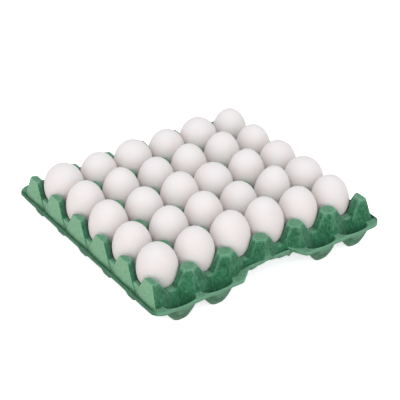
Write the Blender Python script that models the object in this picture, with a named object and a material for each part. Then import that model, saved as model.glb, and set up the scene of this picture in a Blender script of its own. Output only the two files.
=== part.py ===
"""Moulded-pulp egg tray with thirty white hen's eggs: five rows of six, one egg standing in each cell.

The tray is one closed shell. Its upper surface follows a rule, height(x, y), and its underside lies one
wall thickness below it. X runs along the rows of six, Y across them, and Z = 0 is the surface it rests on.
"""

import math

import bmesh
import bpy
from mathutils import Vector
from mathutils.bvhtree import BVHTree
from mathutils.geometry import delaunay_2d_cdt

MM = 0.001

# The lattice of cells, with a post at every corner of every cell.
CELLS_X = 6
CELLS_Y = 5
PITCH_X = 46.0 * MM
PITCH_Y = 47.5 * MM
FIELD_X = PITCH_X * CELLS_X / 2
FIELD_Y = PITCH_Y * CELLS_Y / 2

# Heights of the upper surface, and the wall.
POST_TOP = 45.0 * MM
SADDLE = 27.5 * MM
RIM = 22.0 * MM
WALL = 2.0 * MM

# Posts are steep pyramids with eight sides and flat tops.
POST_HALF = 8.0 * MM
POST_CORNER = 0.725
POST_SLOPE = 1.9
CORNER_SLOPE = 2.85
POST_SHOULDER = POST_HALF + (POST_TOP - SADDLE) / POST_SLOPE

# Along the long sides a post has a narrow front and two flanks. They reach the rim's height at their feet.
FRONT_SLOPE = 2.84
FRONT_FOOT = 16.1 * MM
FLANK_SLOPE = 2.35
FLANK_FOOT = 17.9 * MM
FLANK_TURN = 0.5

# At the ends the outer face of a post is a shield, which bulges in the middle.
END_POST_OUTER = 3.3 * MM
END_POST_INNER = 5.0 * MM
SHIELD_SLOPE = 6.6
SHIELD_BULGE = 1.7 * MM

# Every cell is a round bowl sunk between the posts. Its profile is a superellipse.
BOWL_RADIUS = 23.2 * MM
BOWL_RIM = 38.0 * MM
BOWL_DEPTH = 40.0 * MM
BOWL_POWER = 1.6
BOWL_SADDLE = 21.5 * MM
BOWL_CORNER = 22.3 * MM
BOWL_MIDDLE = 15.5 * MM
BOWL_FLOOR = 6.5 * MM
BOWL_MIDDLE_SIDES = 8

# A quarter of a bowl's rim as (degrees, radius), and its floor's sides, above and on the underside.
TOP_RIM = ((0, BOWL_SADDLE), (16, BOWL_SADDLE), (36, BOWL_CORNER), (54, BOWL_CORNER), (74, BOWL_SADDLE))
TOP_FLOOR_SIDES = 8
UNDER_RIM = ((0, BOWL_SADDLE), (22, BOWL_SADDLE), (68, BOWL_SADDLE))
UNDER_FLOOR_SIDES = 6

# Outside the long rows a half cell hangs opposite each egg, but for the middle ones.
MARGIN_Y = 28.25 * MM
SADDLE_REACH = 5.8 * MM
BACK_SLOPE = 2.1
POCKET_CENTRE = 17.0 * MM
POCKET_INNER = 14.4 * MM
POCKET_OUTER = 10.8 * MM
POCKET_POWER = 2.4

# Creases of a half cell, as (height, steps round its outer half) and as distances from its middle.
POCKET_RINGS = ((RIM, 6), (12.0 * MM, 4), (WALL, 4))
POCKET_FOOT = (6.0 * MM, 12.5 * MM, 18.2 * MM)

# The middle of each long side is a finger notch with a raised rim and a shallow trough opposite each egg.
# Seen from outside, its left end slants more than its right end.
NOTCH_CELLS = (2, 3)
NOTCH_RISE = 2.6 * MM
NOTCH_MARGIN = 14.85 * MM
NOTCH_LEFT = (25.0 * MM, 41.0 * MM)
NOTCH_RIGHT = (32.0 * MM, 42.0 * MM)
TROUGH_CENTRE = 8.0 * MM
TROUGH_INNER = 5.6 * MM
TROUGH_OUTER = 4.8 * MM
TROUGH_FLOOR = 20.0 * MM
TROUGH_RINGS = ((RIM + NOTCH_RISE, 4), (TROUGH_FLOOR, 4))
TROUGH_FOOT = (6.0 * MM,)
RIM_LAND = 1.0 * MM
BISECTIONS = 20

# Along the ends runs a groove at the feet of the posts, and a lip outside it.
MARGIN_X = 12.0 * MM
END_WALL = 2.8 * MM
END_WALL_SLOPE = 8.0
GROOVE = 19.2 * MM
LIP = 22.3 * MM
LIP_START = 8.7 * MM
LIP_TOP = 9.6 * MM
END_FOOT_TURN = 5.0 * MM
CORNER_RADIUS = 15.0 * MM
CORNER_STEPS = 3

# Eggs: width, length, and taper of the upper end, which is below 0 where the narrow end is up.
EGG_KINDS = {
    "A": (44.4 * MM, 58.0 * MM, 0.02),
    "B": (43.8 * MM, 59.0 * MM, -0.04),
    "C": (44.4 * MM, 61.0 * MM, -0.05),
    "D": (43.0 * MM, 58.5 * MM, 0.0),
    "E": (41.4 * MM, 62.0 * MM, -0.10),
    "F": (45.8 * MM, 56.5 * MM, 0.03),
    "G": (43.2 * MM, 60.0 * MM, -0.07),
    "H": (42.0 * MM, 57.0 * MM, -0.05),
    "K": (44.0 * MM, 56.5 * MM, 0.0),
}
EGG_ROWS = ("ABCCBD", "DBCDEF", "BBCFGK", "BGDGGH", "FKFKFH")
LEAN_ROWS = (".een.n", ".e.eE.", "..e.e.", "..e.e.", "...e..")
LEANS = {
    ".": (0.0, 0.0),
    "e": (3.0, 0.0),
    "E": (8.0, 0.0),
    "n": (0.0, 2.5),
}
EGG_SEGMENTS = 12
EGG_BANDS = 6
EGG_PIVOT = 20.0 * MM
EGG_START = 60.0 * MM
SEAT_GAP = 0.9 * MM

# Plan points closer than this are one point, and creases move in by this much on the underside.
PLAN_MERGE = 0.05 * MM
UNDER_INSET = 1.3 * MM

# The underside is found from the upper surface at these shares of the wall, in this many directions.
UNDER_SHARES = (0.5, 0.95)
UNDER_DIRECTIONS = 12

# Edges of the tray that turn less than this are shaded smooth.
SMOOTH_DEGREES = 25

PULP_GREEN = (0.14, 0.33, 0.20, 1.0)
PULP_ROUGHNESS = 0.95
EGG_WHITE = (0.84, 0.81, 0.79, 1.0)
EGG_ROUGHNESS = 0.5


def to_post_line(position, pitch, field):
    """Distance from the nearest line of posts, and how far outside the outermost line the point lies."""
    outside = abs(position) - field
    if outside >= 0:
        return outside, outside
    along = (position + field) % pitch
    return min(along, pitch - along), outside


def cell_of(x):
    """Number of the column of cells that x falls in."""
    return min(CELLS_X - 1, max(0, int((x + FIELD_X) // PITCH_X)))


def post_height(x, y):
    """The pyramids of the posts, without what lies between them."""
    u, outside_x = to_post_line(x, PITCH_X, FIELD_X)
    v, outside_y = to_post_line(y, PITCH_Y, FIELD_Y)
    half_x = END_POST_INNER if abs(x) > FIELD_X - PITCH_X / 2 else POST_HALF
    if outside_y > 0:
        front = RIM + (FRONT_FOOT - v) * FRONT_SLOPE
        flank = RIM + (FLANK_FOOT - FLANK_TURN * u - v) * FLANK_SLOPE
        level = min(POST_TOP, front, flank)
    else:
        level = min(POST_TOP, POST_TOP - (v - POST_HALF) * POST_SLOPE)
    if outside_x > 0:
        bulge = SHIELD_BULGE * (v / POST_SHOULDER) ** 2
        return min(level, POST_TOP - (u - END_POST_OUTER + bulge) * SHIELD_SLOPE)
    if outside_y <= 0:
        level = min(level, POST_TOP - (u + v - (half_x + POST_HALF) * POST_CORNER) * CORNER_SLOPE)
    return min(level, POST_TOP - (u - half_x) * POST_SLOPE)


def bowl(share):
    """Height of a bowl at this share of its radius."""
    if share >= 1:
        return POST_TOP
    return max(WALL, BOWL_RIM - BOWL_DEPTH * (1 - share**BOWL_POWER) ** (1 / BOWL_POWER))


def share_at(level):
    """Share of its radius at which a bowl reaches this height."""
    return (1 - ((BOWL_RIM - level) / BOWL_DEPTH) ** BOWL_POWER) ** (1 / BOWL_POWER)


def oval(across, out, centre, inner, outer):
    """Share of the radius in a half cell, where out is the distance outside the last line of posts."""
    from_centre = out - centre
    reach = outer if from_centre > 0 else inner
    power = POCKET_POWER
    return ((across / BOWL_RADIUS) ** power + abs(from_centre / reach) ** power) ** (1 / power)


def end_rim(outside_x):
    """Groove and lip along the two ends."""
    rise = (outside_x - LIP_START) / (LIP_TOP - LIP_START)
    return GROOVE + (LIP - GROOVE) * min(1.0, max(0.0, rise))


def side_rim(x, y):
    """Height of the rim along the long sides, raised in the finger notch."""
    along = -x if y > 0 else x
    inner, outer = NOTCH_LEFT if along < 0 else NOTCH_RIGHT
    return RIM + NOTCH_RISE * min(1.0, max(0.0, (outer - abs(along)) / (outer - inner)))


def sunk(x, across, out):
    """Height of the half cell or trough opposite the column of cells that x falls in."""
    if cell_of(x) in NOTCH_CELLS:
        return max(TROUGH_FLOOR, bowl(oval(across, out, TROUGH_CENTRE, TROUGH_INNER, TROUGH_OUTER)))
    return bowl(oval(across, out, POCKET_CENTRE, POCKET_INNER, POCKET_OUTER))


def back_wall(out):
    """Height of the wall that slants down from a saddle into a half cell."""
    return SADDLE - max(0.0, out - SADDLE_REACH) * BACK_SLOPE


def base_height(x, y):
    """Saddles, half cells, troughs and rim: all that is not a post or an egg's bowl."""
    u, outside_x = to_post_line(x, PITCH_X, FIELD_X)
    _, outside_y = to_post_line(y, PITCH_Y, FIELD_Y)
    if outside_x > 0:
        wall = SADDLE - max(0.0, outside_x - END_WALL) * END_WALL_SLOPE
        return max(end_rim(outside_x), min(wall, back_wall(outside_y)))
    if outside_y <= 0:
        return SADDLE
    level = min(side_rim(x, y), sunk(x, PITCH_X / 2 - u, outside_y))
    return max(back_wall(outside_y), level)


def height(x, y):
    """Height of the tray's upper surface."""
    top = max(post_height(x, y), base_height(x, y))
    if abs(x) < FIELD_X and abs(y) < FIELD_Y:
        u, _ = to_post_line(x, PITCH_X, FIELD_X)
        v, _ = to_post_line(y, PITCH_Y, FIELD_Y)
        return min(top, bowl(math.hypot(PITCH_X / 2 - u, PITCH_Y / 2 - v) / BOWL_RADIUS))
    return top


def underside(x, y):
    """Height of a ball of the wall's thickness rolled along below the upper surface."""
    lowest = height(x, y) - WALL
    for share in UNDER_SHARES:
        radius = share * WALL
        for step in range(UNDER_DIRECTIONS):
            angle = math.tau * step / UNDER_DIRECTIONS
            near = height(x + radius * math.cos(angle), y + radius * math.sin(angle))
            lowest = min(lowest, near - math.sqrt(WALL**2 - radius**2))
    return max(0.0, lowest)


def closed(points):
    """Edges round a closed ring of plan points."""
    return list(zip(points, points[1:] + points[:1]))


def opened(points):
    """Edges along an open line of plan points."""
    return list(zip(points, points[1:]))


def moved(points, x, y):
    """The same plan points, moved by (x, y)."""
    return [(px + x, py + y) for px, py in points]


def mirrored(points, side_x, side_y):
    """The same plan points, mirrored where a side is -1."""
    return [(px * side_x, py * side_y) for px, py in points]


def round_ring(degrees, radii):
    """Plan points round the origin, one at each of these angles, at the radius of the same place."""
    return [(r * math.cos(math.radians(a)), r * math.sin(math.radians(a))) for a, r in zip(degrees, radii)]


def even_ring(count, radius):
    """Evenly spaced plan points round the origin, with a side across the X axis."""
    return round_ring([360 * (step + 0.5) / count for step in range(count)], [radius] * count)


def half_oval(share, steps, centre, outer):
    """Plan points (across, out) of the outer half of the line where a half cell reaches this share."""
    points = []
    for step in range(steps + 1):
        c, s = math.cos(math.pi * step / steps), math.sin(math.pi * step / steps)
        across = math.copysign(abs(c) ** (2 / POCKET_POWER), c) * share * BOWL_RADIUS
        points.append((across, centre + max(0.0, s) ** (2 / POCKET_POWER) * share * outer))
    return points


def foot(x, across, far):
    """How far outside the last line of posts the sunk floor begins, this far from its middle."""
    near = SADDLE_REACH
    for _ in range(BISECTIONS):
        middle = (near + far) / 2
        if height(x + across, FIELD_Y + middle) > sunk(x, abs(across), middle):
            near = middle
        else:
            far = middle
    return far


def ridge(out):
    """Distance of the ridge between a post's front and flank from the post's middle."""
    return ((FLANK_FOOT - out) * FLANK_SLOPE - (FRONT_FOOT - out) * FRONT_SLOPE) / (FLANK_SLOPE * FLANK_TURN)


def flank_edge(level):
    """Plan point (u, out) of the edge between a post's side and its flank at this height."""
    u = POST_HALF + (POST_TOP - level) / POST_SLOPE
    return u, FLANK_FOOT - FLANK_TURN * u - (level - RIM) / FLANK_SLOPE


def post_lines(inset):
    """Top edges of the posts: eight corners above, four below."""
    edges = []
    for i in range(CELLS_X + 1):
        for j in range(CELLS_Y + 1):
            top = []
            for side_x, side_y in ((1, 1), (-1, 1), (-1, -1), (1, -1)):
                beyond_x = i == (CELLS_X if side_x > 0 else 0)
                beyond_y = j == (CELLS_Y if side_y > 0 else 0)
                corner = mirrored(post_corner(i in (0, CELLS_X), beyond_x, beyond_y, inset), side_x, side_y)
                top += corner if side_x * side_y > 0 else corner[::-1]
            edges += closed(moved(top, i * PITCH_X - FIELD_X, j * PITCH_Y - FIELD_Y))
    return edges


def post_corner(at_end, beyond_x, beyond_y, inset):
    """Plan points of one quarter of a post's top, from its X side to its Y side."""
    half = (END_POST_OUTER if beyond_x else END_POST_INNER if at_end else POST_HALF) - inset
    side = POST_HALF - inset
    if beyond_y:
        return [(half, flank_edge(POST_TOP)[1] + FLANK_TURN * (POST_HALF - half) - inset), (0.0, side)]
    if beyond_x:
        return [(half, side)]
    if inset:
        return [(half * POST_CORNER, side * POST_CORNER)]
    cut = (half + side) * POST_CORNER
    return [(half, cut - half), (cut - side, side)]


def bowl_lines(inset):
    """Rim, middle and floor of every egg's bowl, with fewer points on the underside."""
    quarter, floor_sides = (UNDER_RIM, UNDER_FLOOR_SIDES) if inset else (TOP_RIM, TOP_FLOOR_SIDES)
    turns = [(angle + 90 * turn, radius + inset) for turn in range(4) for angle, radius in quarter]
    rings = (
        round_ring(*zip(*turns)),
        even_ring(BOWL_MIDDLE_SIDES, BOWL_MIDDLE + inset),
        even_ring(floor_sides, BOWL_FLOOR + inset / 2),
    )
    edges = []
    for i in range(CELLS_X):
        for j in range(CELLS_Y):
            for points in rings:
                x = (i + 0.5) * PITCH_X - FIELD_X
                y = (j + 0.5) * PITCH_Y - FIELD_Y
                edges += closed(moved(points, x, y))
    return edges


def side_lines(inset):
    """Half cells, troughs, and the ridges and feet of the posts along the two long sides."""
    edges = []
    for side in (-1, 1):
        for i in range(CELLS_X):
            x = (i + 0.5) * PITCH_X - FIELD_X
            if i in NOTCH_CELLS:
                centre, outer, rings, feet = TROUGH_CENTRE, TROUGH_OUTER, TROUGH_RINGS, TROUGH_FOOT
            else:
                centre, outer, rings, feet = POCKET_CENTRE, POCKET_OUTER, POCKET_RINGS, POCKET_FOOT
            acrosses = [-across for across in reversed(feet)] + [0.0] + list(feet)
            lines = [[(across, foot(x, across, centre + outer / 2) - inset) for across in acrosses]]
            for level, steps in rings:
                ring = half_oval(share_at(level) + inset / BOWL_RADIUS, steps, centre, outer)
                lines.append([point for point in ring if point[1] > foot(x, point[0], centre + outer / 2) - inset])
            for line in lines:
                line = [(across, out + FIELD_Y) for across, out in line]
                edges += opened(moved(mirrored(line, 1, side), x, 0))
        for i in range(CELLS_X + 1):
            edges += [edge for edge in post_ridges(i, inset) for edge in opened(mirrored(edge, 1, side))]
    return edges


def post_ridges(i, inset):
    """Plan lines of the front, flanks and feet of the outer post number i, on the back side."""
    x = i * PITCH_X - FIELD_X
    reach = FRONT_FOOT - inset
    if abs(x) < NOTCH_LEFT[0]:
        reach = NOTCH_MARGIN - RIM_LAND
    low = ridge(reach)
    lines = [[(-low, reach), (low, reach)]]
    shoulder = flank_edge(SADDLE)
    for turn in (-1, 1):
        if abs(x + turn * POST_HALF) > FIELD_X:
            continue
        lines.append([(0.0, POST_HALF - inset), (turn * low, reach)])
        lines.append([(turn * (POST_SHOULDER - inset), 0.0), (turn * (POST_SHOULDER - inset), SADDLE_REACH)])
        if not inset and i not in (0, CELLS_X):
            lines.append([(turn * POST_HALF, flank_edge(POST_TOP)[1]), (turn * shoulder[0], shoulder[1])])
    return [[(x + across, FIELD_Y + out) for across, out in line] for line in lines]


def end_lines(inset):
    """Feet of the end posts, the walls between them, the groove and the lip."""
    edges = []
    shield = END_POST_OUTER + (POST_TOP - GROOVE) / SHIELD_SLOPE - inset
    recess = END_WALL + (SADDLE - GROOVE) / END_WALL_SLOPE - inset
    for side in (-1, 1):
        for j in range(CELLS_Y):
            y = (j + 0.5) * PITCH_Y - FIELD_Y
            half = PITCH_Y / 2 - POST_SHOULDER
            wall = [(recess, -half), (recess, half)]
            feet = [(shield, -half - END_FOOT_TURN), (shield, half + END_FOOT_TURN)]
            outline = [feet[0], wall[0], wall[1], feet[1]]
            outline = [(FIELD_X + out, along) for out, along in outline]
            edges += opened(moved(mirrored(outline, side, 1), 0, y))
            top = [(FIELD_X + END_WALL - inset, -half), (FIELD_X + END_WALL - inset, half)]
            edges += opened(moved(mirrored(top, side, 1), 0, y))
        reach = FIELD_Y + POST_HALF
        for out in (LIP_START + inset, LIP_TOP + inset):
            line = [(FIELD_X + out, -reach), (FIELD_X + out, reach)]
            edges += opened(mirrored(line, side, 1))
    return edges


def outline():
    """Plan points round the tray's edge, counter-clockwise from the right end of the front side."""
    half_x = FIELD_X + MARGIN_X
    half_y = FIELD_Y + MARGIN_Y
    notch_y = FIELD_Y + NOTCH_MARGIN
    quarter = []
    for step in range(CORNER_STEPS + 1):
        angle = math.pi / 2 * step / CORNER_STEPS
        quarter.append(
            (
                half_x - CORNER_RADIUS * (1 - math.cos(angle)),
                half_y - CORNER_RADIUS * (1 - math.sin(angle)),
            )
        )
    for i in (CELLS_X - 1, CELLS_X - 2):
        quarter.append((i * PITCH_X - FIELD_X, half_y))
    left, right = ([(outer, half_y), (inner, notch_y)] for inner, outer in (NOTCH_LEFT, NOTCH_RIGHT))
    half = quarter + left + [(0.0, notch_y)] + [(-x, y) for x, y in reversed(quarter + right)]
    return half + [(-x, -y) for x, y in half]


def sheet(inset, level):
    """One side of the shell: plan points of its creases, triangulated and lifted to level(x, y)."""
    border = outline()
    edges = post_lines(inset) + bowl_lines(inset) + side_lines(inset) + end_lines(inset)
    points = list(border)
    pairs = []
    for start, end in edges:
        pairs.append((len(points), len(points) + 1))
        points += [start, end]
    plan = [Vector(point) for point in points]
    face = [list(range(len(border)))]
    flat, _, triangles, _, _, inside = delaunay_2d_cdt(plan, pairs, face, 1, PLAN_MERGE, True)
    kept = [triangle for triangle, faces in zip(triangles, inside) if faces]
    return [(point.x, point.y, level(point.x, point.y)) for point in flat], kept


def new_object(name, mesh_maker, material):
    """A named object whose mesh is filled by mesh_maker, in its material."""
    mesh = bpy.data.meshes.new(name)
    shape = bmesh.new()
    mesh_maker(shape)
    bmesh.ops.recalc_face_normals(shape, faces=shape.faces)
    shape.to_mesh(mesh)
    shape.free()
    mesh.shade_smooth()
    mesh.materials.append(material)
    part = bpy.data.objects.new(name, mesh)
    bpy.context.scene.collection.objects.link(part)
    return part


def fill_tray(shape):
    """The shell: upper surface and underside, joined by a band round the edge."""
    for inset, level in ((0.0, height), (UNDER_INSET, underside)):
        corners, triangles = sheet(inset, level)
        verts = [shape.verts.new(corner) for corner in corners]
        for triangle in triangles:
            shape.faces.new([verts[index] for index in triangle])
    border = [edge for edge in shape.edges if edge.is_boundary]
    bmesh.ops.bridge_loops(shape, edges=border)


def finish(name, colour, roughness):
    """A Principled material."""
    material = bpy.data.materials.new(name)
    material.use_nodes = True
    shader = material.node_tree.nodes["Principled BSDF"]
    shader.inputs["Base Color"].default_value = colour
    shader.inputs["Roughness"].default_value = roughness
    return material


def fill_egg(shape, kind):
    """An upright egg with its lowest point at the origin."""
    width, length, taper = EGG_KINDS[kind]
    bmesh.ops.create_uvsphere(shape, u_segments=EGG_SEGMENTS, v_segments=EGG_BANDS, radius=1.0)
    for vert in shape.verts:
        wide = 1 + taper * vert.co.z
        vert.co.x *= width / 2 * wide
        vert.co.y *= width / 2 * wide
        vert.co.z = length / 2 * (1 + vert.co.z)


def seat(points, faces, bed, bed_points):
    """How far an egg with these corners can be let down before it touches the tray."""
    own = BVHTree.FromPolygons(points, faces)
    hits = [bed.ray_cast(point, Vector((0, 0, -1))) for point in points]
    hits += [own.ray_cast(point, Vector((0, 0, 1))) for point in bed_points]
    return min(distance for _, _, _, distance in hits if distance is not None)


def place_egg(column, row, material, tray):
    """An egg in its cell, leaning a little, let down until it all but touches the tray."""
    kind = EGG_ROWS[row][column]
    lean_x, lean_y = LEANS[LEAN_ROWS[row][column]]
    egg = new_object(f"egg_{row + 1}_{column + 1}", lambda shape: fill_egg(shape, kind), material)
    egg.rotation_euler = (-math.radians(lean_y), math.radians(lean_x), 0)
    turn = egg.rotation_euler.to_matrix()
    pivot = Vector((0, 0, EGG_PIVOT))
    axis = Vector(((column + 0.5) * PITCH_X - FIELD_X, (row + 0.5) * PITCH_Y - FIELD_Y, EGG_START))
    start = axis + pivot - turn @ pivot
    points = [start + turn @ vert.co for vert in egg.data.vertices]
    faces = [tuple(face.vertices) for face in egg.data.polygons]
    under = [point for point in tray[1] if (point - axis).xy.length < BOWL_RADIUS]
    egg.location = start - Vector((0, 0, seat(points, faces, tray[0], under) - SEAT_GAP))


def main():
    for old in list(bpy.data.objects):
        bpy.data.objects.remove(old, do_unlink=True)
    pulp = finish("green moulded pulp", PULP_GREEN, PULP_ROUGHNESS)
    shell = finish("white eggshell", EGG_WHITE, EGG_ROUGHNESS)
    mesh = new_object("tray", fill_tray, pulp).data
    mesh.set_sharp_from_angle(angle=math.radians(SMOOTH_DEGREES))
    corners = [vert.co.copy() for vert in mesh.vertices]
    tray = (BVHTree.FromPolygons(corners, [tuple(face.vertices) for face in mesh.polygons]), corners)
    for row in range(CELLS_Y):
        for column in range(CELLS_X):
            place_egg(column, row, shell, tray)


main()
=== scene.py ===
"""Looks of a moulded-pulp egg flat filled with thirty white hen's eggs.

The flat is one shell. Its upper side follows a height rule over its plan, its underside is a ball of the
wall's thickness rolled along below it, and the whole is roughened as moulded pulp is. Every egg is a solid
of revolution whose length, width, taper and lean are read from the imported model. X runs along the rows of
six, Y across them, and Z = 0 is the surface that the flat rests on.
"""

import math

import bpy
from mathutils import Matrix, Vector


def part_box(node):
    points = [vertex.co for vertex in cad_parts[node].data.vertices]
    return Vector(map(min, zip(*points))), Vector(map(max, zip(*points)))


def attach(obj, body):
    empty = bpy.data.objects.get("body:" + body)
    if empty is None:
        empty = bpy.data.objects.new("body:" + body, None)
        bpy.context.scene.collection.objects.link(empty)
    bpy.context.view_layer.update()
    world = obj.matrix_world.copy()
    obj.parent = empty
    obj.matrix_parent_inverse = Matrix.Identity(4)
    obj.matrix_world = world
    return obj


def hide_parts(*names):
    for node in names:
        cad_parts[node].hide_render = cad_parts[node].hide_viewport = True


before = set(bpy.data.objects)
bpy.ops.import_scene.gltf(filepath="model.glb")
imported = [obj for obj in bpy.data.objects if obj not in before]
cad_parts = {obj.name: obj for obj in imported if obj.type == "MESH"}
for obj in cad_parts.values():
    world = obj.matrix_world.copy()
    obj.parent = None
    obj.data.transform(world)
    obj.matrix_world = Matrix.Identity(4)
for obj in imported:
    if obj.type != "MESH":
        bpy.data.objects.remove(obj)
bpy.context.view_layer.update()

bl_info = {
    "name": "Egg flat with eggs",
    "version": (1, 0, 0),
    "blender": (4, 5, 0),
    "location": "View3D > Sidebar > Egg flat",
    "description": "Makes a moulded-pulp flat for thirty eggs, its eggs and a plain studio around them",
    "category": "Object",
}

BODY = "root"
MM = 0.001
COLUMNS = 6
ROWS = 5

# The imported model's own box: the flat fills its plan.
LOW, HIGH = (Vector(corner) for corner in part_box("tray"))


def length(name, default, description):
    """A length in metres that the user may change."""
    return bpy.props.FloatProperty(
        name=name,
        description=description,
        default=default * MM,
        min=0.0,
        precision=5,
        subtype="DISTANCE",
        unit="LENGTH",
    )


def ratio(name, default, description):
    """A plain number, such as a slope, that the user may change."""
    return bpy.props.FloatProperty(name=name, description=description, default=default, precision=3)


def tint(name, default, description):
    """A colour, given as an sRGB hex value."""
    return bpy.props.FloatVectorProperty(
        name=name,
        description=description,
        default=linear(default),
        min=0.0,
        max=1.0,
        size=4,
        subtype="COLOR",
    )


def linear(value):
    """The linear colour of an sRGB hex value such as 5C876C."""
    channels = [int(value[place : place + 2], 16) / 255 for place in (0, 2, 4)]
    return (*[c / 12.92 if c <= 0.04045 else ((c + 0.055) / 1.055) ** 2.4 for c in channels], 1.0)


class FlatSizes(bpy.types.PropertyGroup):
    """Sizes of the flat's height rule. Each is an input of the flat's node tree."""

    pitch_x: length("Pitch X", 46.0, "From one cell to the next along a row")
    pitch_y: length("Pitch Y", 47.5, "From one row to the next")
    post_top: length("Post top", 45.0, "Height of the posts")
    saddle: length("Saddle", 27.5, "Height of the saddle between two posts")
    rim: length("Rim", 22.0, "Height of the rim along the two long sides")
    wall: length("Wall", 1.9, "Thickness of the pulp")
    bead: length("Bead", 2.0, "How much thicker the pulp is at its outer edge")
    crease: length("Crease", 2.8, "Softness of the inward creases; a fillet is about a sixth of this deep")
    edge: length("Edge", 0.4, "Softness of the outward edges")
    post_half: length("Post half", 8.2, "Half the width of a post's top")
    post_corners: length("Post corners", 11.6, "Reach of a post's top along both sides together, at its corners")
    side_slope: ratio("Side slope", 1.68, "Steepness of the sides of a post that face its neighbours in X")
    row_slope: ratio("Row slope", 2.15, "Steepness of the sides of a post that face its neighbours in Y")
    corner_slope: ratio("Corner slope", 2.0, "Steepness of a post's corners, inside the field of cells")
    front_slope: ratio("Front slope", 2.84, "Steepness of the front of an outer post")
    front_foot: length("Front foot", 16.1, "From the line of posts to the foot of an outer post's front")
    flank_slope: ratio("Flank slope", 2.35, "Steepness of the flanks on either side of that front")
    flank_foot: length("Flank foot", 17.9, "From the line of posts to where the flanks' feet would meet")
    flank_turn: ratio("Flank turn", 0.5, "How fast the flanks turn back towards the line of posts")
    saddle_reach: length("Saddle reach", 5.8, "How far a saddle reaches outside the line of posts")
    back_slope: ratio("Back slope", 2.1, "Steepness of a half cell's back wall")
    bowl_radius: length("Bowl radius", 23.2, "Radius of the bowl that an egg stands in")
    bowl_rim: length("Bowl rim", 38.0, "Height where a bowl's wall would be upright")
    bowl_depth: length("Bowl depth", 40.0, "Depth of a bowl below that height")
    bowl_power: ratio("Bowl power", 1.6, "Exponent of a bowl's profile: a cone at 1, a ball at 2")
    half_centre: length("Half cell centre", 17.0, "From the line of posts to the middle of a half cell")
    half_inner: length("Half cell inner", 14.4, "Reach of a half cell towards the posts")
    half_outer: length("Half cell outer", 10.8, "Reach of a half cell towards the rim")
    half_square: ratio("Half cell square", 2.4, "Exponent of a half cell's plan: round at 2, square above it")
    half_power: ratio("Half cell power", 1.6, "Exponent of a half cell's profile")
    notch_half: length("Notch half", 46.0, "Half the width of the part of a side that has no half cells")
    trough_centre: length("Trough centre", 8.0, "From the line of posts to the middle of a trough")
    trough_inner: length("Trough inner", 5.6, "Reach of a trough towards the posts")
    trough_outer: length("Trough outer", 4.8, "Reach of a trough towards the rim")
    trough_floor: length("Trough floor", 20.0, "Height of a trough's floor")
    end_post_outer: length("End post outer", 3.3, "How far the top of an end post reaches outwards")
    end_post_inner: length("End post inner", 5.0, "How far the top of an end post reaches inwards")
    end_row_slope: ratio("End row slope", 1.85, "Steepness of the sides of an end post that face its neighbours")
    end_slope: ratio("End slope", 6.6, "Steepness of the outer faces of the end posts")
    end_bulge: length("End bulge", 3.2, "How far such a face falls back at its sides")
    end_wall: length("End wall", 2.8, "How far the saddles reach outside the end posts' line")
    end_wall_slope: ratio("End wall slope", 8.0, "Steepness of the wall below such a saddle")
    groove: length("Groove", 19.2, "Height of the groove along the two ends")
    recess: length("Recess", 3.0, "How much deeper the groove is below each saddle")
    recess_half: length("Recess half", 9.5, "Half the length of such a recess")
    lip: length("Lip", 22.3, "Height of the lip outside the groove")
    lip_start: length("Lip start", 8.7, "From the end posts' line to the foot of the lip")
    lip_top: length("Lip top", 9.6, "From the end posts' line to the top of the lip")
    groove_end: length("Groove end", 12.0, "From the line of posts to where the groove begins to run out")
    notch_rise: length("Notch rise", 2.6, "How much higher the rim is in a finger notch")
    notch_depth: length("Notch depth", 13.4, "How far a finger notch is cut back from the rim")
    notch_left_inner: length("Notch left inner", 25.0, "From the middle to the left end of a notch, at its back")
    notch_left_outer: length("Notch left outer", 41.0, "From the middle to the left end of a notch, at the rim")
    notch_right_inner: length("Notch right inner", 32.0, "From the middle to the right end of a notch, at its back")
    notch_right_outer: length("Notch right outer", 42.0, "From the middle to the right end of a notch, at the rim")
    flap_slope: ratio("Flap slope", 0.2, "Fall of the lifted flap at the right end of the front notch")
    tear_place: length("Tear place", 29.5, "From the middle of the front notch to that flap's torn edge")
    tear_middle: length("Tear middle", 11.5, "From the line of posts to the middle of the tear")
    tear_reach: length("Tear reach", 3.4, "Half the length of the tear")
    tear_half: length("Tear half", 1.2, "Half the width of the tear")
    tear_depth: length("Tear depth", 3.5, "Depth of the tear")
    corner_radius: length("Corner radius", 15.0, "Radius of the flat's corners in plan")
    edge_wave: length("Edge wave", 1.2, "How far the rim strays inwards")
    sway: length("Sway", 0.5, "How far a surface strays up and down over a few centimetres")
    lumps: length("Lumps", 0.3, "Height of the slow unevenness of the pulp")
    grain: length("Grain", 0.14, "Height of the clots of fibre on the pulp")
    pits: length("Pits", 0.6, "Depth of the small pits")


class FlatFinish(bpy.types.PropertyGroup):
    """Colours of the dyed pulp, and of the painted light and painted shade on it."""

    pulp: tint("Pulp", "397B55", "Colour of the dyed pulp")
    # This colour also paints shade in hollows, creases and pits, and darkens the ends from the groove outwards.
    deep: tint("Deep", "1A5333", "Where the dye has settled")
    # This colour also makes outward edges paler.
    pale: tint("Pale", "7DAE8F", "Loose fibres that took less dye")
    # Painted light: this colour lightens the faces that face up, and the outward faces at the ends.
    lit_faces: tint("Lit faces", "89BA92", "Where the flat has rubbed against others")
    fleck: tint("Fleck", "274333", "Specks of dark fibre")


class EggFinish(bpy.types.PropertyGroup):
    """Shape and colours of the eggs."""

    shell: tint("Shell", "EBE3E0", "Colour of the eggshell")
    warm: tint("Warm", "EBDCD5", "Faint warm clouds in the shell")
    around: bpy.props.IntProperty(name="Around", description="Faces round an egg", default=56, min=12)
    along: bpy.props.IntProperty(name="Along", description="Faces from end to end", default=32, min=8)


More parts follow.
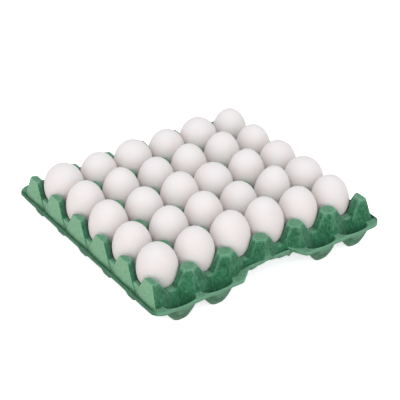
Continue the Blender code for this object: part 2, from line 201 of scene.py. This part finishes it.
class StudioSettings(bpy.types.PropertyGroup):
    """Camera, lights and floor."""

    azimuth: bpy.props.FloatProperty(
        name="Azimuth", description="Direction of the camera round the flat", default=math.radians(-34.94), subtype="ANGLE"
    )
    elevation: bpy.props.FloatProperty(
        name="Elevation", description="Height of the camera above the horizon", default=math.radians(32.71), subtype="ANGLE"
    )
    distance: length("Distance", 1472.0, "From the camera to the middle of the posts' tops")
    lens: bpy.props.FloatProperty(name="Lens", description="Focal length in millimetres", default=118.6)
    top_light: ratio("Top light", 0.45, "Strength of the light from above")
    left_light: ratio("Left light", 0.74, "Strength added to it from the left")
    low_light: ratio("Low light", 0.43, "Strength of the light from all round and below")
    floor_glow: ratio("Floor glow", 0.68, "How much light the paper sweep gives of its own")
    box_power: bpy.props.FloatProperty(name="Box power", description="Power of the soft box", default=2.4, unit="POWER")


class Term:
    """A number in a node tree. Arithmetic on it adds Math nodes, so that a rule reads as a formula."""

    def __init__(self, tree, socket):
        self.tree = tree
        self.socket = socket

    def math(self, operation, *others):
        node = add_node(self.tree, "ShaderNodeMath", dict(enumerate((self, *others))), operation=operation)
        return Term(self.tree, node.outputs[0])

    def __add__(self, other):
        return self.math("ADD", other)

    def __sub__(self, other):
        return self.math("SUBTRACT", other)

    def __mul__(self, other):
        return self.math("MULTIPLY", other)

    def __truediv__(self, other):
        return self.math("DIVIDE", other)

    def __pow__(self, other):
        return self.math("POWER", other)

    def __abs__(self):
        return self.math("ABSOLUTE")

    def over(self, other):
        """1 where this is greater than other, and 0 elsewhere."""
        return self.math("GREATER_THAN", other)

    def least(self, other, soft=None):
        """The lower of two, with the crease between them rounded if soft is given."""
        return self.math("MINIMUM", other) if soft is None else self.math("SMOOTH_MIN", other, soft)

    def most(self, other, soft=None):
        """The higher of two, with the crease between them rounded if soft is given."""
        return self.math("MAXIMUM", other) if soft is None else self.math("SMOOTH_MAX", other, soft)

    def towards(self, other, share):
        """This where share is 0, the other where it is 1, and in between where it is in between."""
        return self + (other - self) * share


def add_node(tree, kind, inputs=None, **settings):
    """Adds a node with its settings. Its inputs, by name or place, are numbers, terms or sockets."""
    node = tree.nodes.new(kind)
    for name, value in settings.items():
        setattr(node, name, value)
    for key, value in (inputs or {}).items():
        socket = node.inputs[key]
        if isinstance(value, Term):
            tree.links.new(value.socket, socket)
        elif isinstance(value, bpy.types.NodeSocket):
            tree.links.new(value, socket)
        else:
            socket.default_value = value
    return node


def new_tree(name, sizes, extra=(), result=("Geometry", "NodeSocketGeometry")):
    """A geometry tree with an input for every length and number of the property group, and a result."""
    tree = bpy.data.node_groups.new(name, "GeometryNodeTree")
    for title, kind, value in [*extra, *settings_of(sizes)]:
        socket = tree.interface.new_socket(title, in_out="INPUT", socket_type=kind)
        if value is not None:
            socket.default_value = value
    tree.interface.new_socket(result[0], in_out="OUTPUT", socket_type=result[1])
    return tree


def settings_of(group):
    """Name, socket type and value of each number in a property group."""
    kinds = {"FLOAT": "NodeSocketFloat", "INT": "NodeSocketInt"}
    rows = []
    for prop in group.bl_rna.properties:
        if prop.type in kinds and not getattr(prop, "is_array", False):
            rows.append((prop.name, kinds[prop.type], getattr(group, prop.identifier)))
    return rows


class Sizes:
    """The tree's inputs as terms, by the identifiers of the property group."""

    def __init__(self, tree, group, inputs):
        for prop in group.bl_rna.properties:
            if prop.name in inputs.outputs:
                setattr(self, prop.identifier, Term(tree, inputs.outputs[prop.name]))


def oval(s, across, out, centre, inner, outer):
    """Share of its radius at which a point of a half cell or a trough lies."""
    from_centre = out - centre
    reach = inner.towards(outer, from_centre.over(0.0))
    parts = (across / s.bowl_radius) ** s.half_square + (abs(from_centre) / reach) ** s.half_square
    return parts ** (s.half_square**-1)


def bowl(s, share, power):
    """Height of a bowl at this share of its radius."""
    wall = (share.least(1.0) ** power * -1 + 1.0) ** (power**-1)
    return (s.bowl_rim - s.bowl_depth * wall).most(s.wall, s.edge).towards(s.post_top, share.over(0.9999))


def posts(s, u, v, out_x, out_y, near_end):
    """The posts: pyramids with flat tops inside the field, with a front and two flanks along its long sides."""
    inner = s.post_half.towards(s.end_post_inner, near_end)
    row_slope = s.row_slope.towards(s.end_row_slope, near_end)
    corner_slope = s.corner_slope.towards(s.end_row_slope, near_end)
    side = s.post_top - (u - inner) * s.side_slope
    row = s.post_top - (v - s.post_half) * row_slope
    corner = s.post_top - (u + v - s.post_corners + s.post_half - inner) * corner_slope
    corner = corner.towards(row, out_x.over(0.0))
    front = s.rim + (s.front_foot - v) * s.front_slope
    flank = s.rim + (s.flank_foot - u * s.flank_turn - v) * s.flank_slope
    facing_y = row.least(corner, s.edge).towards(front.least(flank, s.edge), out_y.over(0.0))
    bulge = (v / (s.pitch_y * 0.5)) ** 2.0 * s.end_bulge
    shield = s.post_top - (out_x - s.end_post_outer + bulge) * s.end_slope
    facing_x = side.towards(shield, out_x.over(0.0))
    return facing_x.least(facing_y, s.edge).least(s.post_top, s.edge)


def long_side(s, x, along_x, out_y, rim):
    """The rim, half cells, troughs and saddles outside the first and last rows of posts."""
    back = (s.saddle - (out_y - s.saddle_reach) * s.back_slope).least(s.saddle, s.edge)
    half_cell = bowl(s, oval(s, along_x, out_y, s.half_centre, s.half_inner, s.half_outer), s.half_power)
    trough = bowl(s, oval(s, along_x, out_y, s.trough_centre, s.trough_inner, s.trough_outer), s.half_power)
    trough = trough.most(s.trough_floor, s.crease)
    sunk = half_cell.towards(trough, s.notch_half.over(abs(x)))
    return back.most(rim.least(sunk, s.edge), s.crease)


def end(s, v, out_x, out_y):
    """The saddles' outer walls, the groove and the lip outside the end posts."""
    between = (s.recess_half - (s.pitch_y * 0.5 - v)) / s.recess_half
    groove = s.groove - s.recess * (between * 2.0).most(0.0).least(1.0)
    rise = ((out_x - s.lip_start) / (s.lip_top - s.lip_start)).most(0.0, 0.2).least(1.0, 0.2)
    rim = groove.towards(s.lip, rise)
    rim = rim.towards(s.rim, ((out_y - s.groove_end) / s.wall * 0.4).most(0.0).least(1.0))
    wall = (s.saddle - (out_x - s.end_wall) * s.end_wall_slope).least(s.saddle, s.edge)
    back = s.saddle - (out_y - s.saddle_reach) * s.back_slope
    return rim.most(wall.least(back, s.edge), s.crease * 0.5)


def surface(s, x, y):
    """Height of the upper side over the plan point (x, y)."""
    out_x = abs(x) - s.pitch_x * (COLUMNS / 2)
    out_y = abs(y) - s.pitch_y * (ROWS / 2)
    u = (x + s.pitch_x * (COLUMNS / 2)).math("PINGPONG", s.pitch_x * 0.5)
    v = (y + s.pitch_y * (ROWS / 2)).math("PINGPONG", s.pitch_y * 0.5).most(out_y)
    near_end = (out_x + s.pitch_x * 0.5).over(0.0)
    along_x = s.pitch_x * 0.5 - u
    along_y = s.pitch_y * 0.5 - v

    rim = s.rim + s.notch_rise * notch(s, x, y)
    base = s.saddle.towards(long_side(s, x, along_x, out_y, rim), out_y.over(0.0))
    base = base.towards(end(s, v, out_x, out_y), out_x.over(0.0))
    torn = x - s.tear_place - (out_y - s.trough_centre) * 0.35
    top = posts(s, u, v, out_x, out_y, near_end).most(base, s.crease)
    top = top.most(flap(s, x, y, out_y, torn), s.edge) - tear(s, y, out_y, torn)
    cell = bowl(s, (along_x**2.0 + along_y**2.0) ** 0.5 / s.bowl_radius, s.bowl_power)
    inside = (out_x * -1).over(0.0) * (out_y * -1).over(0.0)
    return top.least(top.towards(cell, inside), s.edge)


def flap(s, x, y, out_y, torn):
    """Height of the lifted flap of pulp at the right end of the front finger notch."""
    level = s.rim + (s.pitch_x - x) * s.flap_slope
    level = level.least(s.rim + torn * 5.0).least(s.rim + (out_y - s.trough_centre) * 2.0)
    return level - (y.over(0.0) + x.over(s.notch_half)) * s.post_top


def tear(s, y, out_y, torn):
    """Depth of the tear in the pulp along the flap's left side."""
    across = (abs(torn + s.tear_half) / s.tear_half * -1 + 1.0).most(0.0)
    along = (abs(out_y - s.tear_middle) / s.tear_reach * -2 + 2.0).most(0.0).least(1.0)
    return across * along * s.tear_depth * y.math("LESS_THAN", 0.0)


def notch(s, x, y):
    """1 in the finger notch in the middle of either long side, and 0 beyond its slanting ends."""
    along = x * y.math("SIGN") * -1
    left = (along + s.notch_left_outer) / (s.notch_left_outer - s.notch_left_inner)
    right = (s.notch_right_outer - along) / (s.notch_right_outer - s.notch_right_inner)
    return left.least(right).most(0.0, 0.25).least(1.0, 0.25)


def height_group(sizes):
    """Node group that gives the height of the upper side over a plan point."""
    extra = (("X", "NodeSocketFloat", 0.0), ("Y", "NodeSocketFloat", 0.0))
    tree = new_tree("flat height", sizes, extra, ("Height", "NodeSocketFloat"))
    inputs = add_node(tree, "NodeGroupInput")
    s = Sizes(tree, sizes, inputs)
    height = surface(s, Term(tree, inputs.outputs["X"]), Term(tree, inputs.outputs["Y"]))
    add_node(tree, "NodeGroupOutput", {0: height})
    return tree


def noise(tree, place, size, detail=2.0, roughness=0.5, shift=0.0):
    """Noise between -1 and 1 with features of this size in metres, at a place that a vector socket gives."""
    node = add_node(
        tree,
        "ShaderNodeTexNoise",
        {"Vector": place, "Scale": 1.0 / size, "Detail": detail, "Roughness": roughness, "W": shift},
        noise_dimensions="4D",
    )
    return Term(tree, node.outputs[0]) * 2.0 - 1.0


# Shares of the wall's thickness at which the underside's ball is felt, with the number of directions.
UNDER_RINGS = ((0.5, 6), (0.94, 10))
BLUR_STEPS = 1
# Share of the squares that lie inside the outermost lines of posts, each way. The rest make the finer margins.
INSIDE_X = 0.76
INSIDE_Y = 0.79
INSET = 2 * MM
# Steps along the squares over which the surface is compared with what lies round it, and the rise that counts as 1.
HOLLOW_STEPS = 2
HOLLOW_RISE = 0.25 * MM


def flat_tree(sizes, material):
    """The flat: a closed box of fine squares, bent to the height rule, roughened and given its finish."""
    group = height_group(sizes)
    extra = (("Squares X", "NodeSocketInt", 440), ("Squares Y", "NodeSocketInt", 430))
    tree = new_tree("moulded flat", sizes, extra)
    inputs = add_node(tree, "NodeGroupInput")
    s = Sizes(tree, sizes, inputs)
    counts = {"Vertices X": inputs.outputs["Squares X"], "Vertices Y": inputs.outputs["Squares Y"], "Vertices Z": 2}
    box = add_node(tree, "GeometryNodeMeshCube", {"Size": (2.0, 2.0, 2.0), **counts})
    place = add_node(tree, "GeometryNodeInputPosition").outputs[0]
    gx, gy, gz = parts(tree, place)

    # Plan: the square outline is drawn in at the corners and the finger notches, and strays a little.
    side_x, margin_x = margin(s.pitch_x * (COLUMNS / 2) - INSET, gx, INSIDE_X)
    side_y, margin_y = margin(s.pitch_y * (ROWS / 2) - INSET, gy, INSIDE_Y)
    along = add_node(tree, "ShaderNodeCombineXYZ", {0: gx * HIGH.x, 1: gy * HIGH.y, 2: 0.0}).outputs[0]
    stray = (noise(tree, along, 24 * MM, 3.0, 0.6) * 0.5 + 0.5) * s.edge_wave
    rough_x = side_x + margin_x * (stray * -1 + HIGH.x - side_x)
    into_corner = (rough_x - HIGH.x + s.corner_radius).most(0.0)
    corner = s.corner_radius - (s.corner_radius**2.0 - into_corner**2.0).most(0.0) ** 0.5
    x = rough_x * gx.math("SIGN")
    cut = notch(s, x, gy) * s.notch_depth
    y = (side_y + margin_y * (corner * -1 - cut - stray + HIGH.y - side_y)) * gy.math("SIGN")

    def height_at(turn, reach):
        node = add_node(tree, "GeometryNodeGroup", node_tree=group)
        for title, _, _ in settings_of(sizes):
            tree.links.new(inputs.outputs[title], node.inputs[title])
        tree.links.new((x + reach * math.cos(turn)).socket, node.inputs["X"])
        tree.links.new((y + reach * math.sin(turn)).socket, node.inputs["Y"])
        return Term(tree, node.outputs[0])

    def ring(reach, count):
        return [height_at(math.tau * step / count, reach) for step in range(count)]

    top = height_at(0.0, s.wall * 0.0)
    under = top - s.wall
    for share, count in UNDER_RINGS:
        for near in ring(s.wall * share, count):
            under = under.least(near - s.wall * math.sqrt(1 - share**2))

    # The outer edge is a bead: thicker below and rounded off above.
    from_edge = ((margin_x * -1 + 1.0) * (side_x * -1 + HIGH.x)).least((margin_y * -1 + 1.0) * (side_y * -1 + HIGH.y))
    bead = (from_edge / (-2.5 * MM) + 1.0).most(0.0)
    top = top - (from_edge / (-0.7 * MM) + 1.0).most(0.0) * 0.5 * MM
    under = under - bead.least(0.5) * 2.0 * s.bead
    sway = noise(tree, along, 45 * MM, 1.0) * s.sway
    z = under.towards(top, gz.over(0.0)) + sway
    shaped = add_node(tree, "ShaderNodeCombineXYZ", {0: x, 1: y, 2: z})
    bent = add_node(tree, "GeometryNodeSetPosition", {"Geometry": box.outputs["Mesh"], "Position": shaped.outputs[0]})

    here = add_node(tree, "GeometryNodeInputPosition").outputs[0]
    blur = add_node(tree, "GeometryNodeBlurAttribute", {"Iterations": BLUR_STEPS}, data_type="FLOAT_VECTOR")
    tree.links.new(here, blur.inputs["Value"])
    softened = {"Geometry": bent.outputs[0], "Position": blur.outputs[0]}
    softened = add_node(tree, "GeometryNodeSetPosition", softened)

    # Relief along the surface's own direction: slow lumps, clots of fibre and a few small pits.
    lumps = noise(tree, here, 13 * MM, 1.0) * s.lumps
    grain = noise(tree, here, 2.4 * MM, 3.0, 0.6) * s.grain
    pits = add_node(tree, "ShaderNodeTexVoronoi", {"Vector": here, "Scale": 1 / (15 * MM)})
    chosen = parts(tree, pits.outputs["Color"])[0].over(0.55)
    pit = (Term(tree, pits.outputs["Distance"]) / -0.075 + 1.0).most(0.0, 0.2) * chosen * s.pits
    normal = add_node(tree, "GeometryNodeInputNormal").outputs[0]
    push = add_node(tree, "ShaderNodeVectorMath", {0: normal, "Scale": lumps + grain - pit}, operation="SCALE")
    rough = add_node(tree, "GeometryNodeSetPosition", {"Geometry": softened.outputs[0], "Offset": push.outputs[0]})

    # What the finish needs to know: how far the surface lies below what surrounds it, and where to paint light.
    around = add_node(tree, "GeometryNodeBlurAttribute", {"Iterations": HOLLOW_STEPS}, data_type="FLOAT_VECTOR")
    tree.links.new(here, around.inputs["Value"])
    rise = add_node(tree, "ShaderNodeVectorMath", {0: around.outputs[0], 1: here}, operation="SUBTRACT")
    rise = add_node(tree, "ShaderNodeVectorMath", {0: rise.outputs[0], 1: normal}, operation="DOT_PRODUCT")
    at_x, at_y, at_z = parts(tree, here)
    beyond_posts = abs(at_x) - s.pitch_x * (COLUMNS / 2)
    # Darker at both ends from the groove outwards, over the groove, the lip and the bead.
    darkened = ((beyond_posts - s.lip_start + s.wall) / s.wall).most(0.0).least(0.5)
    # Painted shade: hollows, creases and pits are marked to be painted darker, and so are the ends from the groove
    # outwards; below 0 the mark makes outward edges paler.
    hollow_shade = {"Geometry": rough.outputs[0], "Name": "hollow_shade", "Value": Term(tree, rise.outputs["Value"]) / HOLLOW_RISE + darkened + pit / s.pits}
    rough = add_node(tree, "GeometryNodeStoreNamedAttribute", hollow_shade)
    facing_x, facing_y, facing_z = parts(tree, normal)
    # Painted light: the outward faces at the ends, and the faces that face up at a lower share, are marked to be
    # painted lighter.
    outward = (facing_x * at_x.math("SIGN") * 2.5 - 1.2).most(0.0).least(1.0)
    outward = outward * beyond_posts.over(0.0) * beyond_posts.math("LESS_THAN", s.lip_start - s.wall * 0.5)
    before_lip = beyond_posts.math("LESS_THAN", s.lip_start)
    upward = (facing_z * 4.0 - 3.0).most(0.0).least(1.0) * at_z.over(s.groove) * before_lip * 0.36
    lit_faces = {"Geometry": rough.outputs[0], "Name": "lit_faces", "Value": outward.most(upward)}
    rough = add_node(tree, "GeometryNodeStoreNamedAttribute", lit_faces)
    kept = add_node(tree, "ShaderNodeVectorMath", {0: here, 1: (LOW.x, LOW.y, LOW.z)}, operation="MAXIMUM")
    kept = add_node(tree, "ShaderNodeVectorMath", {0: kept.outputs[0], 1: (HIGH.x, HIGH.y, 1.0)}, operation="MINIMUM")
    inside = add_node(tree, "GeometryNodeSetPosition", {"Geometry": rough.outputs[0], "Position": kept.outputs[0]})
    close_tree(tree, inside.outputs[0], material)
    return tree


def parts(tree, vector):
    """The three parts of a vector socket, as terms."""
    return [Term(tree, socket) for socket in add_node(tree, "ShaderNodeSeparateXYZ", {0: vector}).outputs]


def margin(inner, place, inside):
    """For a place from -1 to 1 along the box: distance from the middle, up to inner, and share of the margin."""
    middle = abs(place).least(inside) / inside * inner
    return middle, (abs(place) - inside).most(0.0) / (1 - inside)


def close_tree(tree, geometry, material):
    """Ends a tree: shaded smooth, instances made real, and in its material."""
    smooth = add_node(tree, "GeometryNodeSetShadeSmooth", {"Geometry": geometry, "Shade Smooth": True})
    real = add_node(tree, "GeometryNodeRealizeInstances", {"Geometry": smooth.outputs[0]})
    done = add_node(tree, "GeometryNodeSetMaterial", {"Geometry": real.outputs[0], "Material": material})
    add_node(tree, "NodeGroupOutput", {0: done.outputs[0]})


def egg_tree(finish, material):
    """An egg: a ball drawn out to its length, with one end blunter than the other, turned and put in its place."""
    tree = bpy.data.node_groups.new("egg", "GeometryNodeTree")
    numbers = (("Width", 44 * MM), ("Length", 58 * MM), ("Taper", 0.0), ("Seed", 0.0), ("Uneven", 0.12 * MM))
    for name, value in numbers:
        tree.interface.new_socket(name, in_out="INPUT", socket_type="NodeSocketFloat").default_value = value
    for name, value in (("Around", finish.around), ("Along", finish.along)):
        tree.interface.new_socket(name, in_out="INPUT", socket_type="NodeSocketInt").default_value = value
    tree.interface.new_socket("Place", in_out="INPUT", socket_type="NodeSocketVector")
    tree.interface.new_socket("Turn", in_out="INPUT", socket_type="NodeSocketRotation")
    tree.interface.new_socket("Geometry", in_out="OUTPUT", socket_type="NodeSocketGeometry")
    inputs = add_node(tree, "NodeGroupInput")
    width, long, taper, seed, uneven = (Term(tree, inputs.outputs[name]) for name, _ in numbers)
    counts = {"Segments": inputs.outputs["Around"], "Rings": inputs.outputs["Along"], "Radius": 1.0}
    ball = add_node(tree, "GeometryNodeMeshUVSphere", counts)
    place = add_node(tree, "GeometryNodeInputPosition")
    split = add_node(tree, "ShaderNodeSeparateXYZ", {0: place.outputs[0]})
    x, y, z = (Term(tree, socket) for socket in split.outputs)
    blunt = (z * taper + 1.0) * width * 0.5
    stray = noise(tree, place.outputs[0], 1.3, 1.0, 0.5, seed) * uneven
    shape = add_node(tree, "ShaderNodeCombineXYZ", {0: x * (blunt + stray), 1: y * (blunt + stray), 2: z * long * 0.5})
    egg = add_node(tree, "GeometryNodeSetPosition", {"Geometry": ball.outputs["Mesh"], "Position": shape.outputs[0]})
    put = {"Geometry": egg.outputs[0], "Translation": inputs.outputs["Place"], "Rotation": inputs.outputs["Turn"]}
    put = add_node(tree, "GeometryNodeTransform", put)
    close_tree(tree, put.outputs[0], material)
    return tree


def made_mesh(name, tree, values, thin_to=None):
    """A plain object at the origin whose mesh is what the tree makes from these values."""
    holder = bpy.data.objects.new(name + "_maker", bpy.data.meshes.new(name + "_maker"))
    bpy.context.scene.collection.objects.link(holder)
    modifier = holder.modifiers.new("make", "NODES")
    modifier.node_group = tree
    sockets = {item.name: item.identifier for item in tree.interface.items_tree if item.in_out == "INPUT"}
    for title, value in values.items():
        modifier[sockets[title]] = value
    if thin_to is not None:
        thin = holder.modifiers.new("thin", "DECIMATE")
        thin.ratio = thin_to
    shown = holder.evaluated_get(bpy.context.evaluated_depsgraph_get())
    mesh = bpy.data.meshes.new_from_object(shown)
    bpy.data.objects.remove(holder)
    mesh.name = name
    piece = bpy.data.objects.new(name, mesh)
    bpy.context.scene.collection.objects.link(piece)
    if not piece.data.polygons:
        raise RuntimeError(f"{name} came out empty")
    return piece


def shader_tree(name):
    """A new material with its node tree emptied but for the shader and the output."""
    material = bpy.data.materials.new(name)
    material.use_nodes = True
    tree = material.node_tree
    return material, tree, tree.nodes["Principled BSDF"]


def mix(tree, share, low, high):
    """Colour between low, at share 0, and high, at share 1."""
    node = add_node(tree, "ShaderNodeMix", {0: share, 6: low, 7: high}, data_type="RGBA")
    return node.outputs[2]


def pulp_material(colours):
    """Moulded paper pulp, dyed in the mass: dull, mottled, with fibres and dark specks that catch the eye."""
    material, tree, shader = shader_tree("dyed moulded pulp")
    place = add_node(tree, "ShaderNodeTexCoord").outputs["Object"]
    clouds = noise(tree, place, 11 * MM, 3.0, 0.6)
    clots = noise(tree, place, 2.4 * MM, 3.0, 0.65)
    fibres = noise(tree, place, 0.9 * MM, 2.0, 0.7)
    drawn = add_node(tree, "ShaderNodeVectorMath", {0: place, 1: (1.0, 1.0, 0.2)}, operation="MULTIPLY").outputs[0]
    streaks = noise(tree, drawn, 1.6 * MM, 3.0, 0.6)
    tone = clouds * 1.1 + clots * 0.7 + streaks * 1.1 + 0.6
    colour = mix(tree, tone.most(0.0).least(1.0), tuple(colours.deep), tuple(colours.pulp))
    colour = mix(tree, (clots * 1.2 + fibres * 1.2 - 0.35).most(0.0).least(0.6), colour, tuple(colours.pale))
    hollow_shade = Term(tree, add_node(tree, "ShaderNodeAttribute", attribute_name="hollow_shade").outputs["Fac"])
    lit_faces = Term(tree, add_node(tree, "ShaderNodeAttribute", attribute_name="lit_faces").outputs["Fac"])
    # Painted light: lighter on faces that face up, and on the outward faces at the ends.
    colour = mix(tree, (lit_faces * (clots * 0.5 + 0.85)).most(0.0).least(1.0), colour, tuple(colours.lit_faces))
    # Painted shade: darker towards the deep colour in hollows, creases and pits, and at the ends from the groove
    # outwards.
    colour = mix(tree, hollow_shade.most(0.0).least(0.85), colour, tuple(colours.deep))
    # Paler on outward edges, where the surface stands above what surrounds it.
    colour = mix(tree, (hollow_shade * -0.8).most(0.0).least(0.6), colour, tuple(colours.pale))
    specks = add_node(tree, "ShaderNodeTexVoronoi", {"Vector": place, "Scale": 1 / (4.2 * MM), "Randomness": 1.0})
    near = Term(tree, specks.outputs["Distance"])
    chosen = Term(tree, add_node(tree, "ShaderNodeSeparateColor", {0: specks.outputs["Color"]}).outputs[0])
    speck = ((near * -1 + 0.16) * 14.0).most(0.0).least(0.75) * chosen.over(0.72)
    colour = mix(tree, speck, colour, tuple(colours.fleck))
    tree.links.new(colour, shader.inputs["Base Color"])
    shader.inputs["Roughness"].default_value = 0.92
    shader.inputs["IOR"].default_value = 1.45
    shader.inputs["Specular IOR Level"].default_value = 0.3
    shader.inputs["Sheen Weight"].default_value = 0.2
    shader.inputs["Sheen Roughness"].default_value = 0.5
    height = clots * 0.5 + fibres * 0.35
    bump = add_node(tree, "ShaderNodeBump", {"Height": height, "Distance": 0.3 * MM, "Strength": 0.8})
    tree.links.new(bump.outputs[0], shader.inputs["Normal"])
    return material


def shell_material(colours):
    """White eggshell: fine-pored, matt with a soft sheen, and lit a little from within."""
    material, tree, shader = shader_tree("white eggshell")
    place = add_node(tree, "ShaderNodeTexCoord").outputs["Object"]
    clouds = noise(tree, place, 22 * MM, 2.0, 0.5)
    mottle = noise(tree, place, 2.0 * MM, 2.0, 0.6)
    colour = mix(tree, (clouds * 0.5 + mottle * 0.2 + 0.3).most(0.0).least(1.0), tuple(colours.shell), tuple(colours.warm))
    tree.links.new(colour, shader.inputs["Base Color"])
    shader.inputs["Roughness"].default_value = 0.5
    shader.inputs["IOR"].default_value = 1.45
    shader.inputs["Specular IOR Level"].default_value = 0.35
    shader.inputs["Subsurface Weight"].default_value = 0.12
    shader.inputs["Subsurface Radius"].default_value = (1.0, 0.5, 0.35)
    shader.inputs["Subsurface Scale"].default_value = 4 * MM
    pores = noise(tree, place, 0.7 * MM, 2.0, 0.6)
    bump = add_node(tree, "ShaderNodeBump", {"Height": pores, "Distance": 0.05 * MM, "Strength": 0.5})
    tree.links.new(bump.outputs[0], shader.inputs["Normal"])
    return material


def measured_egg(node):
    """Middle, turn, width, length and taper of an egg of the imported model."""
    points = [vert.co.copy() for vert in node.data.vertices]
    low = min(points, key=lambda point: point.z)
    high = max(points, key=lambda point: point.z)
    axis = (high - low).normalized()
    middle = (low + high) / 2
    long = (high - low).length
    rings = {}
    for point in points:
        rise = (point - middle).dot(axis)
        off = (point - middle - axis * rise).length
        band = round(2 * rise / long, 1)
        rings[band] = max(off, rings.get(band, 0.0))
    width = 2 * rings[0.0]
    taper = 2 * (rings[0.5] - rings[-0.5]) / (rings[0.5] + rings[-0.5])
    turn = Vector((0, 0, 1)).rotation_difference(axis)
    return middle, turn, width, long, taper


def studio_world(studio):
    """Soft light from all round, brighter from above and the left, and dim from below."""
    world = bpy.data.worlds.new("soft light all round")
    world.use_nodes = True
    tree = world.node_tree
    towards = add_node(tree, "ShaderNodeTexCoord").outputs["Generated"]
    x, y, z = parts(tree, towards)
    above = (z / 0.3 + 0.5).most(0.0).least(1.0)
    left = (x * -0.5 - y * 0.87 - z * 0.6 + 0.5).most(0.0)
    strength = above * (left * studio.left_light + studio.top_light) + studio.low_light
    tree.links.new(strength.socket, tree.nodes["Background"].inputs["Strength"])
    colour = mix(tree, above, linear("FFE6DC"), linear("F2F9FF"))
    tree.links.new(colour, tree.nodes["Background"].inputs["Color"])
    return world


class EGGFLAT_OT_flat(bpy.types.Operator):
    """Makes the moulded flat in place of its solid"""

    bl_idname = "eggflat.flat"
    bl_label = "Flat"

    def execute(self, context):
        scene = context.scene
        tree = flat_tree(scene.egg_flat_sizes, pulp_material(scene.egg_flat_finish))
        values = {title: value for title, _, value in settings_of(scene.egg_flat_sizes)}
        values["Squares X"] = 440
        values["Squares Y"] = 430
        piece = made_mesh("moulded_flat", tree, values, 0.255)
        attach(piece, BODY)
        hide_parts("tray")
        return {"FINISHED"}


class EGGFLAT_OT_eggs(bpy.types.Operator):
    """Makes an egg in place of each solid egg"""

    bl_idname = "eggflat.eggs"
    bl_label = "Eggs"

    def execute(self, context):
        finish = context.scene.egg_finish
        tree = egg_tree(finish, shell_material(finish))
        names = sorted(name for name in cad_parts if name.startswith("egg_"))
        for seed, name in enumerate(names):
            middle, turn, width, long, taper = measured_egg(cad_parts[name])
            values = {
                "Width": width,
                "Length": long,
                "Taper": taper,
                "Seed": float(seed),
                "Around": finish.around,
                "Along": finish.along,
                "Place": middle,
                "Turn": turn.to_euler(),
            }
            piece = made_mesh("shell_" + name, tree, values)
            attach(piece, BODY)
            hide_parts(name)
        return {"FINISHED"}


class EGGFLAT_OT_studio(bpy.types.Operator):
    """Makes the floor, the soft lights and the camera"""

    bl_idname = "eggflat.studio"
    bl_label = "Studio"

    def execute(self, context):
        scene = context.scene
        studio = scene.egg_studio
        scene.view_settings.view_transform = "Standard"
        scene.view_settings.look = "None"
        middle = Vector((0, 0, scene.egg_flat_sizes.post_top))
        back = Vector(
            (
                math.sin(studio.azimuth) * math.cos(studio.elevation),
                -math.cos(studio.azimuth) * math.cos(studio.elevation),
                math.sin(studio.elevation),
            )
        )
        right = Vector((0, 0, 1)).cross(back).normalized()
        up = back.cross(right)
        lens = bpy.data.cameras.new("camera")
        lens.lens = studio.lens
        lens.clip_end = 10.0
        camera = bpy.data.objects.new("camera", lens)
        camera.location = middle + back * studio.distance + right * 4.2 * MM - up * 14.0 * MM
        camera.rotation_mode = "QUATERNION"
        camera.rotation_quaternion = back.to_track_quat("Z", "Y")
        scene.collection.objects.link(camera)
        scene.camera = camera

        scene.world = studio_world(studio)
        lamp = bpy.data.lights.new("left box", "AREA")
        lamp.shape = "SQUARE"
        lamp.size = 1.1
        lamp.energy = studio.box_power
        box = bpy.data.objects.new("left box", lamp)
        box.location = Vector((-1.6, 0.15, 0.95))
        box.rotation_mode = "QUATERNION"
        box.rotation_quaternion = (box.location - middle).to_track_quat("Z", "Y")
        scene.collection.objects.link(box)

        bpy.ops.mesh.primitive_plane_add(size=12.0, location=(0, 0, -0.0005))
        floor = context.object
        floor.name = "floor"
        paper, tree, shader = shader_tree("white paper sweep")
        shader.inputs["Base Color"].default_value = linear("FAFAFA")
        shader.inputs["Roughness"].default_value = 0.9
        shader.inputs["Emission Color"].default_value = linear("FFFFFF")
        shader.inputs["Emission Strength"].default_value = studio.floor_glow
        floor.data.materials.append(paper)
        floor.visible_diffuse = False
        return {"FINISHED"}


class EGGFLAT_PT_panel(bpy.types.Panel):
    """Lists what the add-on makes"""

    bl_idname = "EGGFLAT_PT_panel"
    bl_label = "Egg flat"
    bl_space_type = "VIEW_3D"
    bl_region_type = "UI"
    bl_category = "Egg flat"

    def draw(self, context):
        for operator in OPERATORS:
            self.layout.operator(operator.bl_idname)
        for group in (context.scene.egg_flat_finish, context.scene.egg_finish, context.scene.egg_studio):
            for prop in group.bl_rna.properties:
                if prop.identifier not in ("rna_type", "name"):
                    self.layout.prop(group, prop.identifier)


OPERATORS = (EGGFLAT_OT_flat, EGGFLAT_OT_eggs, EGGFLAT_OT_studio)
GROUPS = {
    "egg_flat_sizes": FlatSizes,
    "egg_flat_finish": FlatFinish,
    "egg_finish": EggFinish,
    "egg_studio": StudioSettings,
}


def register():
    for made in (*GROUPS.values(), *OPERATORS, EGGFLAT_PT_panel):
        bpy.utils.register_class(made)
    for name, group in GROUPS.items():
        setattr(bpy.types.Scene, name, bpy.props.PointerProperty(type=group))


def unregister():
    for name in GROUPS:
        delattr(bpy.types.Scene, name)
    for made in (EGGFLAT_PT_panel, *OPERATORS, *GROUPS.values()):
        bpy.utils.unregister_class(made)


def main():
    register()
    bpy.ops.eggflat.flat()
    bpy.ops.eggflat.eggs()
    bpy.ops.eggflat.studio()


if __name__ == "__main__":
    main()
